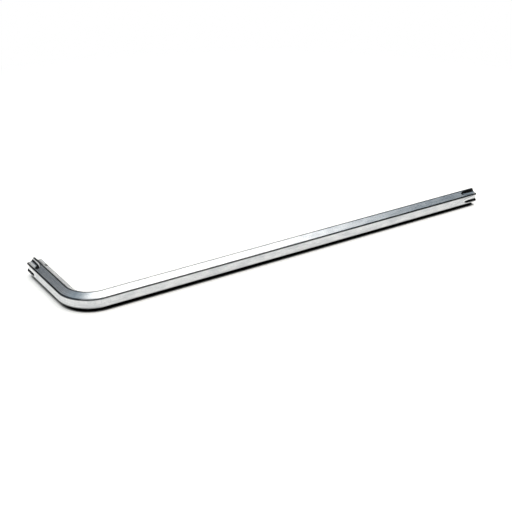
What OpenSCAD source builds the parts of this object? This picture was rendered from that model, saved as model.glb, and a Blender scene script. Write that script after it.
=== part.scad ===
// Long-arm star-drive key: one hexagonal steel bar, bent square, with six
// flutes ground into its flats at each end, so that the bar's own corners
// become the six lobes of the drive.
// It lies on a corner of the bar: +X runs along the long arm towards its tip,
// +Y along the short arm, and z = 0 is the surface that it rests on.

/* [Bar] */
// Width of the bar across two opposite flats
across_flats = 5; // [4.9:0.02:5.1]
// Width across two opposite rounded corners, which is the drive's width too
across_points = 5.6; // [5.52:0.02:5.66]

/* [Arms] */
// Overall length of the long arm, from the short arm's outer flat to the tip
long_arm = 155; // [110:5:220]
// Overall length of the short arm, from the long arm's outer flat to the tip
short_arm = 34; // [26:1:45]
// Radius of the bend, along the middle of the bar
bend_radius = 8; // [6:0.5:12]

/* [Star drive] */
// Distance across the bottoms of two opposite flutes
across_valleys = 3.99; // [3.9:0.03:4.08]
// Radius of a flute's round bottom
flute_radius = 1.19; // [1.15:0.02:1.21]
// Tilt of a flute's two shoulders, which take the edge off the lobes
shoulder_tilt = 22; // [18:1:26]
// Length of the long arm's flutes at full depth, before they run out
long_flutes = 3.2; // [2:0.2:6]
// Length of the short arm's flutes at full depth, before they run out
short_flutes = 4; // [2:0.2:6]
// Radius of the grinding wheel, which sets how slowly a flute runs out
wheel_radius = 8; // [6:1:14]
// Width of the small chamfer around each tip
tip_chamfer = 0.2; // [0.1:0.05:0.3]

/* [Hidden] */
$fn = 96;

half_flats = across_flats / 2;
half_points = across_points / 2;
// The radius at which a corner's arc would just touch its two flats, and a
// slightly larger one, with which the arc meets each flat at a slight angle.
touching_radius = (half_flats / cos(30) - half_points) / (1 / cos(30) - 1);
corner_radius = 1.07 * touching_radius;
corner_centre = half_points - corner_radius;
flute_centre = across_valleys / 2 + flute_radius;
// The shoulders start just inside the flute's round bottom, at 45 degrees, and
// end outside the bar.
shoulder_start = 0.7 * flute_radius;
shoulder_width = 0.7;
shoulder_rise = shoulder_width * tan(shoulder_tilt);
// The outer flats of the two arms lie half_flats outside their middle lines.
long_reach = long_arm - half_flats;
short_reach = short_arm - half_flats;
past_tip = 1; // how far a cutter runs on beyond the tip
chamfer_run = 1; // how far the chamfer's cutter reaches beyond the chamfer

// A hexagon with a corner on the X axis. Past the start of each rounding, only
// what lies inside the corner's circle is kept.
module bar_section() {
    difference() {
        circle(r = half_flats / cos(30), $fn = 6);
        for (corner = [0:60:300])
            rotate(corner) translate([corner_centre, 0]) difference() {
                translate([corner_radius * cos(30), -corner_radius])
                    square(2 * corner_radius);
                circle(r = corner_radius);
            }
    }
}

// The straight bar of one arm, along X from the bend's end to the tip.
module straight_bar(reach) {
    translate([bend_radius, 0, 0]) rotate([0, 90, 0])
        linear_extrude(reach - bend_radius) bar_section();
}

// The quarter turn that joins the arms, around a centre inside the corner.
module bend() {
    translate([bend_radius, bend_radius, 0]) rotate(180)
        rotate_extrude(angle = 90)
            translate([bend_radius, 0]) rotate(90) bar_section();
}

// The section of a flute, with its bottom towards -Y: a round bottom between
// two sloping shoulders.
module flute_section() {
    circle(r = flute_radius);
    polygon([
        [-shoulder_start, -shoulder_start], [shoulder_start, -shoulder_start],
        [shoulder_start + shoulder_width, shoulder_rise - shoulder_start],
        [-shoulder_start - shoulder_width, shoulder_rise - shoulder_start]
    ]);
}

// What grinds one flute into the flat that faces +Y: a straight rod at full
// depth, and a part of the wheel's rim where the flute rises to the flat.
module flute_cutter(reach, full_depth) {
    run_out_start = reach - full_depth;
    translate([run_out_start, flute_centre, 0]) rotate([0, 90, 0])
        linear_extrude(full_depth + past_tip) flute_section();
    translate([run_out_start, flute_centre + wheel_radius, 0]) rotate(180)
        rotate_extrude(angle = 90)
            translate([wheel_radius, 0]) rotate(90) flute_section();
}

// Bevels the tip with a 45 degree cone.
module chamfer_cutter(reach) {
    inner = half_points - tip_chamfer;
    outer = half_points + chamfer_run;
    translate([reach, 0, 0]) rotate([0, 90, 0]) rotate_extrude()
        polygon([
            [inner, 0], [inner, past_tip], [outer, past_tip],
            [outer, -tip_chamfer - chamfer_run]
        ]);
}

// One arm along X, with its six flutes and its chamfered tip.
module drive_arm(reach, flutes) {
    difference() {
        straight_bar(reach);
        for (flat = [0:60:300]) rotate([flat, 0, 0]) flute_cutter(reach, flutes);
        chamfer_cutter(reach);
    }
}

module star_key() {
    color("silver")
    translate([half_flats - long_arm / 2, half_flats - short_arm / 2, half_points]) {
        drive_arm(long_reach, long_flutes);
        bend();
        rotate(90) drive_arm(short_reach, short_flutes);
    }
}

star_key();
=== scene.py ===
import math

import bpy
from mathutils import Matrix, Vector


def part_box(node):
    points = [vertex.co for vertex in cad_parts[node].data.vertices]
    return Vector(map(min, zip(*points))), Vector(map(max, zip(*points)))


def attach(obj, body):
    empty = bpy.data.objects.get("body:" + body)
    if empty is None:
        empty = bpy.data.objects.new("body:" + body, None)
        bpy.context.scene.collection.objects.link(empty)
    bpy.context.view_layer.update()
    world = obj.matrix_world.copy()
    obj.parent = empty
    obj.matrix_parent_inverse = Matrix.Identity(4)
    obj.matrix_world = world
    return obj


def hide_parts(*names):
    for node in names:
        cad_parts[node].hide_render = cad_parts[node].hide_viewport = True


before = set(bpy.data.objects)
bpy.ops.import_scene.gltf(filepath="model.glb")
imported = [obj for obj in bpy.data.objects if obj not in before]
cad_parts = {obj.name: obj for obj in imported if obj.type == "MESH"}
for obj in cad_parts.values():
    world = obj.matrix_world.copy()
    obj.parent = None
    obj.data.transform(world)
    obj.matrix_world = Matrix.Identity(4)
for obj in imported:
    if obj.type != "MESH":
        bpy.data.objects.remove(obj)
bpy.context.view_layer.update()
scene = bpy.context.scene
mm = 0.001
print("packed key loaded")


def srgb(hexCode):
    # every colour is written as sRGB hex and turned to linear here
    parts = [int(hexCode[i:i + 2], 16) / 255 for i in (1, 3, 5)]
    return [c / 12.92 if c <= 0.04045 else ((c + 0.055) / 1.055) ** 2.4 for c in parts] + [1.0]


def addNode(tree, kind, sockets=None, **properties):
    # a socket is given a value, another node's output, or a node whose first output is meant;
    # a Mix of colours has its factor at 0, its two colours at 6 and 7, and its result at 2
    node = tree.nodes.new("ShaderNode" + kind)
    for name, value in properties.items():
        setattr(node, name, value)
    for name, value in (sockets or {}).items():
        if isinstance(value, bpy.types.Node):
            value = value.outputs[0]
        if isinstance(value, bpy.types.NodeSocket):
            tree.links.new(value, node.inputs[name])
        else:
            node.inputs[name].default_value = value
    return node


def newMaterial(name):
    material = bpy.data.materials.new(name)
    material.use_nodes = True
    material.node_tree.nodes.clear()
    return material, material.node_tree


def newPiece(name, vertices, faces, material):
    mesh = bpy.data.meshes.new(name)
    mesh.from_pydata(vertices, [], faces)
    mesh.materials.append(material)
    piece = bpy.data.objects.new(name, mesh)
    scene.collection.objects.link(piece)
    return piece


# Bright chrome plate over cold drawn hexagonal steel. Drawing leaves fine lines
# and a slight waviness along the bar, which break up the mirror. The ridges come
# out of the die smoother than the flats, and a painted shade on them stands in for
# the dark reflections they show, so they show as thin dark lines. The flutes are
# ground, and shine between the two.
plate = {  # sizes in millimetres
    "lightTone": "#d4d5d6",
    "darkTone": "#bfc1c4",
    "flatRoughness": 0.24,
    "streakRoughness": 0.08,  # how much rougher the drawing lines are
    "ridgeRoughness": 0.07,
    "ridgePaintedShade": "#34363a",  # painted shade on the ridges, for the dark reflections along them
    "fluteRoughness": 0.14,
    "lineWidth": 0.22,  # real drawing lines are near 0.03, too fine to show
    "lineLength": 16.0,
    "lineDepth": 0.0004,
    "lineSpan": (0.35, 0.7),  # the part of the noise, which runs from 0 to 1, that makes them
    "waveWidth": 1.1,
    "waveLength": 5.0,
    "waveDepth": 0.0030,
    "waveSpan": (0.36, 0.64),
    "markWidth": 0.45,  # the marks that bending leaves across the flats
    "markLength": 3.0,
    "markSpan": (0.5, 0.72),
    "markTone": "#bcbfc2",
    "anisotropy": 0.7,  # the drawing lines spread a reflection across the bar
    "anisotropyTurn": 0.25,  # a quarter turn from along the bar to across it
}

chromePlate, tree = newMaterial("brightChromePlateOnDrawnSteel")
places = addNode(tree, "UVMap", uv_map="millimetres")  # u along the bar, v around it
lines = addNode(tree, "Mapping", {"Vector": places,
                                  "Scale": (1 / plate["lineLength"], 1 / plate["lineWidth"], 1)})
drawnLines = addNode(tree, "TexNoise", {"Vector": lines, "Scale": 1, "Detail": 3, "Roughness": 0.6})
waves = addNode(tree, "Mapping", {"Vector": places,
                                  "Scale": (1 / plate["waveLength"], 1 / plate["waveWidth"], 1)})
drawnWaves = addNode(tree, "TexNoise", {"Vector": waves, "Scale": 1, "Detail": 2, "Roughness": 0.5})
ridge = addNode(tree, "Attribute", attribute_name="ridge")
flute = addNode(tree, "Attribute", attribute_name="flute")
streaks = addNode(tree, "MapRange", {"Value": drawnLines, "From Min": plate["lineSpan"][0],
                                     "From Max": plate["lineSpan"][1], "To Min": plate["flatRoughness"],
                                     "To Max": plate["flatRoughness"] + plate["streakRoughness"]})
polished = addNode(tree, "MapRange", {"Value": ridge.outputs["Fac"], "To Min": streaks,
                                      "To Max": plate["ridgeRoughness"]})
ground = addNode(tree, "MapRange", {"Value": flute.outputs["Fac"], "To Min": polished,
                                    "To Max": plate["fluteRoughness"]})
mottle = addNode(tree, "MapRange", {"Value": drawnWaves, "From Min": plate["waveSpan"][0],
                                    "From Max": plate["waveSpan"][1]})
flatTone = addNode(tree, "Mix", {0: mottle, 6: srgb(plate["darkTone"]), 7: srgb(plate["lightTone"])},
                   data_type="RGBA")
# bending stretches the plate, which leaves faint marks across the flats
stretch = addNode(tree, "Mapping", {"Vector": places,
                                    "Scale": (1 / plate["markWidth"], 1 / plate["markLength"], 1)})
stretchMarks = addNode(tree, "TexNoise", {"Vector": stretch, "Scale": 1, "Detail": 2, "Roughness": 0.6})
marked = addNode(tree, "MapRange", {"Value": stretchMarks, "From Min": plate["markSpan"][0],
                                    "From Max": plate["markSpan"][1]})
bent = addNode(tree, "Attribute", attribute_name="bent")
markShare = addNode(tree, "Math", {0: marked, 1: bent.outputs["Fac"]}, operation="MULTIPLY")
bentTone = addNode(tree, "Mix", {0: markShare, 6: flatTone.outputs[2], 7: srgb(plate["markTone"])},
                   data_type="RGBA")
# painted shade: the ridges' tone goes dark, for the dark reflections along them
tone = addNode(tree, "Mix", {0: ridge.outputs["Fac"], 6: bentTone.outputs[2], 7: srgb(plate["ridgePaintedShade"])},
               data_type="RGBA")
waveBump = addNode(tree, "Bump", {"Height": drawnWaves, "Strength": 1, "Distance": plate["waveDepth"] * mm})
lineBump = addNode(tree, "Bump", {"Height": drawnLines, "Strength": 1, "Distance": plate["lineDepth"] * mm,
                                  "Normal": waveBump})
alongBar = addNode(tree, "Tangent", direction_type="UV_MAP", uv_map="millimetres")
metal = addNode(tree, "BsdfPrincipled", {"Base Color": tone.outputs[2], "Metallic": 1, "Roughness": ground,
                                         "Anisotropic": plate["anisotropy"],
                                         "Anisotropic Rotation": plate["anisotropyTurn"],
                                         "Normal": lineBump, "Tangent": alongBar})
addNode(tree, "OutputMaterial", {"Surface": metal})
print("chrome plate made")

# The bar, all in millimetres. Its corners become the six lobes at each tip.
bar = {
    "acrossFlats": 5.0,
    "acrossPoints": 5.6,
    "crown": 0.006,  # drawn flats are very slightly domed
    "bendRadius": 8.0,
    "acrossValleys": 3.99,
    "fluteRadius": 1.19,
    "longFlutes": 3.2,  # how far the flutes of each arm keep their full depth
    "shortFlutes": 4.0,
    "wheelRadius": 8.0,
    "lobeEdge": 0.34,  # how softly a flute's sides turn over into the lobes
    "runOutEdge": 0.05,  # and into the flat, where the flute runs out
    "tipChamfer": 0.2,
    "chamferEdge": 0.04,
    "tipEdge": 0.04,
    "girth": 17.0,  # about the way around the bar, for the plate's pattern
    "groundFade": 0.1,  # the depth over which a flute's ground finish sets in
    "ridgeFade": 0.09,  # how far onto the flats a ridge's painted shade and smoothness reach
    "longRidgeShadeAndSmoothness": 0.68,
    "shortRidgeShadeAndSmoothness": 1.0,  # painted shade and smoothness on the ridges, more on the bend and the short arm
    "longLowerRidgeShadeAndSmoothness": 0.4,  # less of both on the long arm's lower ridges, so they stay brighter
    "markFade": 4.0,  # how far past the bend its marks reach
    "flatSteps": 30,  # faces across each flat, and round each corner
    "cornerSteps": 10,
    # rows of faces along each stretch of the bar, closest where its outline changes most
    "rows": {"chamfer": 6, "flutes": 5, "runOut": 48, "longArm": 30, "bend": 64, "shortArm": 6},
    "rowGap": 0.4,  # between the flutes' rows and the stretches on both sides
    "runOutLead": 0.3,  # how far before its start the run-out's rows begin
    "faceRings": (0.2, 0.4, 0.6, 0.8, 0.93),  # on a tip's face, from its middle outwards
    "edgeAngles": (0, 30, 60),  # over the rounded edge between the face and the chamfer
}
halfFlats = bar["acrossFlats"] / 2
halfPoints = bar["acrossPoints"] / 2
secant = 1 / math.cos(math.radians(30))
cornerRadius = (halfFlats * secant - halfPoints) / (secant - 1)
cornerCentre = halfPoints - cornerRadius
flatHalf = (halfFlats - cornerRadius) * math.tan(math.radians(30))
fluteCentre = bar["acrossValleys"] / 2 + bar["fluteRadius"]
wheelCentre = fluteCentre + bar["wheelRadius"]

# the key lies in its box: the long tip towards +X, the short tip towards +Y
boxLow, boxHigh = [[c / mm for c in corner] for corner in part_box("star_key")]
axisX, axisY = boxLow[0] + halfFlats, boxLow[1] + halfFlats
axisZ = (boxLow[2] + boxHigh[2]) / 2
bendStart = boxHigh[0] - axisX - bar["bendRadius"]
bendEnd = bendStart + bar["bendRadius"] * math.pi / 2
barLength = bendEnd + boxHigh[1] - axisY - bar["bendRadius"]


def softMin(a, b, width):
    blend = min(1, max(0, 0.5 + 0.5 * (b - a) / width))
    return b + (a - b) * blend - width * blend * (1 - blend)


def fluteHeight(t, past):
    # the ground surface, t across the flute, past the end of its full depth
    rim = (bar["wheelRadius"] + math.sqrt(max(0, bar["fluteRadius"] ** 2 - t * t))) ** 2 - max(0, past) ** 2
    return wheelCentre - math.sqrt(rim) if rim > 0 else wheelCentre


def plainHeight(t):
    # how far a flat lies from the bar's middle, t across the flat, where there is no flute
    return halfFlats - bar["crown"] * (t / flatHalf) ** 2


def flatHeight(t, past):
    # the same, with the flute ground into it
    depth = max(0, halfFlats - fluteHeight(0, past)) / (halfFlats - fluteHeight(0, 0))
    softness = bar["runOutEdge"] + (bar["lobeEdge"] - bar["runOutEdge"]) * depth
    return softMin(plainHeight(t), fluteHeight(t, past), softness)


flatSteps, cornerSteps = bar["flatSteps"], bar["cornerSteps"]
flatPlaces = [flatHalf * math.sin(math.pi * (i / flatSteps - 0.5)) for i in range(flatSteps + 1)]
cornerAngles = [math.radians(-30 + 60 * i / cornerSteps) for i in range(1, cornerSteps)]


def sectionAt(fromTip, fullDepth):
    # the bar's outline, as points outwards and up
    points = []
    for side in range(6):
        turn = math.radians(60 * side)
        c, s = math.cos(turn), math.sin(turn)
        for t in flatPlaces:
            n = flatHeight(t, fromTip - fullDepth)
            points.append((n * c - t * s, n * s + t * c))
        corner = turn + math.radians(30)
        for a in cornerAngles:
            points.append((cornerCentre * math.cos(corner) + cornerRadius * math.cos(corner + a),
                           cornerCentre * math.sin(corner) + cornerRadius * math.sin(corner + a)))
    if fromTip < bar["tipChamfer"] + bar["chamferEdge"]:  # here the chamfer draws the outline in
        allowed = halfPoints - bar["tipChamfer"] + fromTip
        kept = [softMin(math.hypot(*p), allowed, bar["chamferEdge"]) / math.hypot(*p) for p in points]
        points = [(h * k, v * k) for (h, v), k in zip(points, kept)]
    return points


def place(s, outwards, up):
    # s runs along the bar's middle line from the long tip to the short one
    if s <= bendStart:
        x, y = boxHigh[0] - s, axisY - outwards
    elif s >= bendEnd:
        x, y = axisX - outwards, boxHigh[1] - (barLength - s)
    else:
        turn = (s - bendStart) / bar["bendRadius"]
        x = axisX + bar["bendRadius"] - (bar["bendRadius"] + outwards) * math.sin(turn)
        y = axisY + bar["bendRadius"] - (bar["bendRadius"] + outwards) * math.cos(turn)
    return Vector((x, y, axisZ + up)) * mm


def steps(start, end, count):
    return [start + (end - start) * i / count for i in range(count + 1)]


rowCounts, rowGap, tipEdge = bar["rows"], bar["rowGap"], bar["tipEdge"]
runOut = math.sqrt((bar["wheelRadius"] + bar["fluteRadius"]) ** 2 - (wheelCentre - halfFlats) ** 2)


def tipRows(fullDepth):
    # distances from a tip
    chamferEnd = bar["tipChamfer"] + 2 * bar["chamferEdge"]
    rows = steps(tipEdge, chamferEnd, rowCounts["chamfer"])
    rows += steps(rowGap, fullDepth - rowGap, rowCounts["flutes"])
    runOutStart = fullDepth - bar["runOutLead"]
    return rows + steps(runOutStart, fullDepth + runOut + rowGap, rowCounts["runOut"])


longRows, shortRows = tipRows(bar["longFlutes"]), tipRows(bar["shortFlutes"])
rows = longRows + steps(longRows[-1], bendStart, rowCounts["longArm"])[1:-1]
rows += steps(bendStart, bendEnd, rowCounts["bend"])
rows += steps(bendEnd, barLength - shortRows[-1], rowCounts["shortArm"])[1:-1]
rows += [barLength - u for u in reversed(shortRows)]

# each ring is its place along the bar, the distance from the nearer tip at
# which its outline is taken, and the part of its full size that it has
drawIn = tipEdge / halfPoints
cap = [(0, tipEdge, k * (1 - drawIn)) for k in bar["faceRings"]]
cap += [(tipEdge * (1 - math.cos(a)), tipEdge, 1 - drawIn * (1 - math.sin(a)))
        for a in map(math.radians, bar["edgeAngles"])]
rings = cap + [(s, min(s, barLength - s), 1) for s in rows]
rings += [(barLength - s, u, k) for s, u, k in reversed(cap)]

# ridges, flutes and bents say, from 0 to 1, how much each point has of those finishes,
# the ridges' painted shade among them; on a tip's face the plate's pattern lies flat across it
vertices, faces, uvs, tipUvs, ridges, flutes, bents = [], [], [], [], [], [], []
around = 6 * (flatSteps + cornerSteps)
for s, fromTip, k in rings:
    fullDepth = bar["longFlutes"] if s < barLength / 2 else bar["shortFlutes"]
    outline = sectionAt(fromTip, fullDepth)
    turned = min(1, max(0, (s - bendStart) / (bendEnd - bendStart)))
    inBend = min(1, max(0, 1 + min(s - bendStart, bendEnd - s) / bar["markFade"]))  # 1 in the bend
    # how much smoothness and painted shade the ridges get here, more towards the short arm
    ridgeShadeAndSmoothness = bar["longRidgeShadeAndSmoothness"] + (bar["shortRidgeShadeAndSmoothness"] - bar["longRidgeShadeAndSmoothness"]) * turned
    onTip = k <= 1 - drawIn
    for i, (h, v) in enumerate(outline):
        step = i % (flatSteps + cornerSteps)
        vertices.append(place(s, h * k, v * k))
        inwards = inset = 0
        if step <= flatSteps:
            t = flatPlaces[step]
            inwards = flatHalf - abs(t)
            inset = plainHeight(t) - flatHeight(t, fromTip - fullDepth)
        # the long arm's lower ridges get less smoothness and painted shade
        lowerRidgeShadeAndSmoothness = bar["longLowerRidgeShadeAndSmoothness"] + (1 - bar["longLowerRidgeShadeAndSmoothness"]) * turned if v < 0 else 1
        ridges.append(0.0 if onTip else max(0, 1 - inwards / bar["ridgeFade"]) * ridgeShadeAndSmoothness * lowerRidgeShadeAndSmoothness)
        flutes.append(0.0 if onTip else min(1, inset / bar["groundFade"]))
        bents.append(inBend)
        uvs.append((s, i * bar["girth"] / around))
        tipUvs.append((h * k, v * k) if onTip else None)
for ring in range(len(rings) - 1):
    a = ring * around
    for i in range(around):
        j = (i + 1) % around
        faces.append((a + i, a + around + i, a + around + j, a + j))
# the middle of each tip's face, with the first point of its ring
for first, s, flip in ((0, 0, 1), ((len(rings) - 1) * around, barLength, -1)):
    middle = len(vertices)
    vertices.append(place(s, 0, 0))
    ridges.append(0.0)
    flutes.append(0.0)
    bents.append(0.0)
    uvs.append((s, 0))
    tipUvs.append((0, 0))
    faces += [(middle, first + i, first + (i + 1) % around)[::flip] for i in range(around)]

keyBar = newPiece("keyBar", vertices, faces, chromePlate)
uvLayer = keyBar.data.uv_layers.new(name="millimetres")
for face in keyBar.data.polygons:
    onTip = all(tipUvs[v] for v in face.vertices)
    wraps = not onTip and any(uvs[v][1] > bar["girth"] - 1 for v in face.vertices)
    for corner, vertex in zip(face.loop_indices, face.vertices):
        u, v = tipUvs[vertex] if onTip else uvs[vertex]
        uvLayer.data[corner].uv = (u, v + bar["girth"] if wraps and v < 1 else v)
for name, values in (("ridge", ridges), ("flute", flutes), ("bent", bents)):
    keyBar.data.attributes.new(name, "FLOAT", "POINT").data.foreach_set("value", values)
keyBar.data.shade_smooth()
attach(keyBar, "root")
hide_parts("star_key")
print("bar made:", len(keyBar.data.polygons), "faces")


def seenDirectly(tree):
    # 1 for the rays that see the white of the paper and the backdrop: camera, mirror and glass rays
    rays = addNode(tree, "LightPath")
    mirrored = addNode(tree, "Math", {0: rays.outputs["Is Camera Ray"], 1: rays.outputs["Is Glossy Ray"]},
                       operation="MAXIMUM")
    return addNode(tree, "Math", {0: mirrored, 1: rays.outputs["Is Transmission Ray"]}, operation="MAXIMUM")


# Matt white paper. The lamps cast a light shadow of the key on it, and the dark shade close
# to the bar is a painted shadow; away from the key it runs out into plain white.
table = {
    "paper": "#fdfbf7",
    "halfSize": 12.0,  # metres, like the two below
    "fadeStart": 0.12,
    "fadeEnd": 0.24,
    "whiteLift": 0.33,  # what the softboxes leave to white
    "shadowReach": 3.2,  # mm; how far from the bar the painted shadow reaches
    "shadowLean": 0.2,  # how much more painted shadow falls at the front than at the back
    "shadowDepth": (0.22, 0.57),  # how open the paper is where its painted shadow is black, and where it is white again
    "shadowSamples": 16,
}
paperWhite, tree = newMaterial("mattWhitePaper")
lean = addNode(tree, "CombineXYZ", {1: table["shadowLean"], 2: 1})
openness = addNode(tree, "AmbientOcclusion", {"Distance": table["shadowReach"] * mm, "Normal": lean},
                   samples=table["shadowSamples"])
clear = addNode(tree, "MapRange", {"Value": openness.outputs["AO"], "From Min": table["shadowDepth"][0],
                                  "From Max": table["shadowDepth"][1]}, interpolation_type="SMOOTHSTEP")
# painted shadow: the paper's colour and its white lift go to black where the bar closes it in
paintedShadowColour = addNode(tree, "Mix", {0: clear, 6: srgb("#000000"), 7: srgb(table["paper"])}, data_type="RGBA")
liftInPaintedShadow = addNode(tree, "Math", {0: clear, 1: table["whiteLift"]}, operation="MULTIPLY")
seenLift = addNode(tree, "Math", {0: liftInPaintedShadow, 1: seenDirectly(tree)}, operation="MULTIPLY")
lifted = addNode(tree, "Emission", {"Color": (1, 1, 1, 1), "Strength": seenLift})
matt = addNode(tree, "BsdfDiffuse", {"Color": paintedShadowColour.outputs[2]})
paper = addNode(tree, "AddShader", {0: matt, 1: lifted})
plainWhite = addNode(tree, "Emission", {"Color": (1, 1, 1, 1), "Strength": 1})
fromKey = addNode(tree, "VectorMath", {0: addNode(tree, "TexCoord").outputs["Object"]}, operation="LENGTH")
away = addNode(tree, "MapRange", {"Value": fromKey.outputs["Value"], "From Min": table["fadeStart"],
                                  "From Max": table["fadeEnd"]}, interpolation_type="SMOOTHSTEP")
fade = addNode(tree, "Math", {0: away, 1: seenDirectly(tree)}, operation="MULTIPLY")
addNode(tree, "OutputMaterial", {"Surface": addNode(tree, "MixShader", {0: fade, 1: paper, 2: plainWhite})})
half = table["halfSize"]
paperCorners = [(-half, -half, 0), (half, -half, 0), (half, half, 0), (-half, half, 0)]
paperSheet = newPiece("paperSheet", paperCorners, [(0, 1, 2, 3)], paperWhite)

backdrop = bpy.data.worlds.new("whiteBackdrop")
scene.world = backdrop
backdrop.use_nodes = True
backdrop.node_tree.nodes.clear()
white = addNode(backdrop.node_tree, "Background", {"Color": (1, 1, 1, 1),
                                                   "Strength": seenDirectly(backdrop.node_tree)})
addNode(backdrop.node_tree, "OutputWorld", {"Surface": white})
print("paper and backdrop made")

# The studio around the table: black cards for the dark lines in the chrome, a
# dim ceiling cloth, and softboxes overhead, with a dimmer strip between.
# The places on the ceiling are in parts of its height, so they are directions.
studio = {
    "height": 3.0,  # metres
    "cardTop": 28,  # degrees above the table
    "card": "#303030",
    "cloth": "#c8dae7",
    "backCloth": "#d4dae0",
    "blueUntil": 0.4,  # the cloth fades from its first colour to the second
    "greyFrom": 1.0,
    "clothStrength": 0.58,
    "clothFront": -0.14,
    "cardGap": 0.02,  # metres between a cloth and the black card behind it
    "softboxDrop": 0.01,
    "dimmerStrength": 0.5,
    "dimmerRight": 0.35,
    "dimmerBack": -0.52,
    # for each side of a softbox, where its light begins and where it is full
    "softboxes": {
        "frontSoftbox": {"colour": "#fffaf3", "strength": 4.2,
                         "left": (-0.75, -0.55), "right": (0.77, 0.57),
                         "front": (-0.52, -0.44), "back": (0.0, -0.14)},
        "middleSoftbox": {"colour": "#fffaf3", "strength": 4.0,
                          "left": (-0.20, 0.35), "right": (0.78, 0.58),
                          "front": (0.0, 0.14), "back": (0.75, 0.60)},
        "backSoftbox": {"colour": "#f6f6f4", "strength": 1.15,
                        "left": (-0.05, 0.15), "right": (0.85, 0.65),
                        "front": (1.30, 1.48), "back": (1.87, 1.85)},
    },
    "board": {"colour": "#f6f6f4", "strength": 0.65, "left": 0.28, "right": 0.87,
              "back": 0.87, "bottom": 0.19, "top": 0.48},
}
high = studio["height"]
wall = high / math.tan(math.radians(studio["cardTop"]))
gap = studio["cardGap"]


def putUp(name, corners, material):
    piece = newPiece(name, corners, [(0, 1, 2, 3)], material)
    piece.visible_camera = False


def hangUp(name, left, right, front, back, drop, material):
    corners = [(left, front), (left, back), (right, back), (right, front)]
    putUp(name, [(x, y, high - drop) for x, y in corners], material)


blackCard, tree = newMaterial("blackCard")
addNode(tree, "OutputMaterial", {"Surface": addNode(tree, "BsdfDiffuse", {"Color": srgb(studio["card"])})})
wallCorners = [(-wall, -wall), (wall, -wall), (wall, wall), (-wall, wall)]
cards = newPiece("cards", [(x, y, z) for z in (0, high + gap) for x, y in wallCorners],
                 [(0, 1, 5, 4), (1, 2, 6, 5), (2, 3, 7, 6), (3, 0, 4, 7), (4, 5, 6, 7)], blackCard)
cards.visible_camera = False

ceilingCloth, tree = newMaterial("dimCeilingCloth")
over = addNode(tree, "SeparateXYZ", {0: addNode(tree, "TexCoord").outputs["Object"]})
toBack = addNode(tree, "MapRange", {"Value": over.outputs["Y"], "From Min": studio["blueUntil"] * high,
                                    "From Max": studio["greyFrom"] * high})
clothTone = addNode(tree, "Mix", {0: toBack, 6: srgb(studio["cloth"]), 7: srgb(studio["backCloth"])},
                    data_type="RGBA")
dim = addNode(tree, "Emission", {"Color": clothTone.outputs[2], "Strength": studio["clothStrength"]})
addNode(tree, "OutputMaterial", {"Surface": dim})
hangUp("ceilingCloth", -wall, wall, studio["clothFront"] * high, wall, 0, ceilingCloth)

# two dimmer cloths keep the key's back and ends from turning black
dimmerCloth, tree = newMaterial("dimmerCloth")
dimmer = addNode(tree, "Emission", {"Color": srgb(studio["cloth"]), "Strength": studio["dimmerStrength"]})
addNode(tree, "OutputMaterial", {"Surface": dimmer})
dimmerRight, dimmerBack = studio["dimmerRight"] * high, studio["dimmerBack"] * high
hangUp("frontCloth", -wall, dimmerRight, -wall, dimmerBack, 0, dimmerCloth)
putUp("sideCloth", [(gap - wall, y, z) for y, z in ((-wall, 0), (wall, 0), (wall, high), (-wall, high))],
      dimmerCloth)

for name, box in studio["softboxes"].items():
    softCloth, tree = newMaterial(name + "Cloth")
    over = addNode(tree, "SeparateXYZ", {0: addNode(tree, "TexCoord").outputs["Object"]})
    glow = None
    for side, axis in (("left", "X"), ("right", "X"), ("front", "Y"), ("back", "Y")):
        begins, full = box[side]
        rise = addNode(tree, "MapRange", {"Value": over.outputs[axis], "From Min": begins * high,
                                          "From Max": full * high}, interpolation_type="SMOOTHSTEP")
        glow = rise if glow is None else addNode(tree, "Math", {0: glow, 1: rise}, operation="MULTIPLY")
    level = addNode(tree, "MapRange", {"Value": glow, "To Min": studio["clothStrength"],
                                       "To Max": box["strength"]})
    colour = addNode(tree, "Mix", {0: glow, 6: srgb(studio["cloth"]), 7: srgb(box["colour"])},
                     data_type="RGBA")
    bright = addNode(tree, "Emission", {"Color": colour.outputs[2], "Strength": level})
    addNode(tree, "OutputMaterial", {"Surface": bright})
    sides = [box[side][0] * high for side in ("left", "right", "front", "back")]
    hangUp(name, *sides, studio["softboxDrop"], softCloth)

# a grey board hangs low at the back right, and lights the sides of the short arm's flutes
board = studio["board"]
greyCard, tree = newMaterial("paintedGreyCard")
paleGrey = addNode(tree, "Emission", {"Color": srgb(board["colour"]), "Strength": board["strength"]})
addNode(tree, "OutputMaterial", {"Surface": paleGrey})
left, right, bottom, top, back = [board[side] * high for side in ("left", "right", "bottom", "top", "back")]
putUp("greyBoard", [(x, back, z) for x, z in ((left, bottom), (right, bottom), (right, top), (left, top))],
      greyCard)
print("studio made")

lens = {  # millimetres and degrees
    "focalLength": 77.47,
    "sensorWidth": 36,
    "azimuth": -33.04,
    "elevation": 25.55,
    "distance": 346.4,
    "target": (-14.08, -14.82, 2.8),
    "nearest": 10,  # what lies nearer or farther isn't drawn
    "farthest": 100000,
}
camera = bpy.data.objects.new("camera", bpy.data.cameras.new("camera"))
scene.collection.objects.link(camera)
camera.data.sensor_width = lens["sensorWidth"]
camera.data.lens = lens["focalLength"]
camera.data.clip_start = lens["nearest"] * mm
camera.data.clip_end = lens["farthest"] * mm
azimuth, elevation = math.radians(lens["azimuth"]), math.radians(lens["elevation"])
towardsLens = Vector((math.sin(azimuth) * math.cos(elevation),
                      -math.cos(azimuth) * math.cos(elevation), math.sin(elevation)))
camera.location = (Vector(lens["target"]) + towardsLens * lens["distance"]) * mm
camera.rotation_mode = "QUATERNION"
camera.rotation_quaternion = (-towardsLens).to_track_quat("-Z", "Y")
scene.camera = camera
scene.view_settings.view_transform = "Standard"
print("camera set")
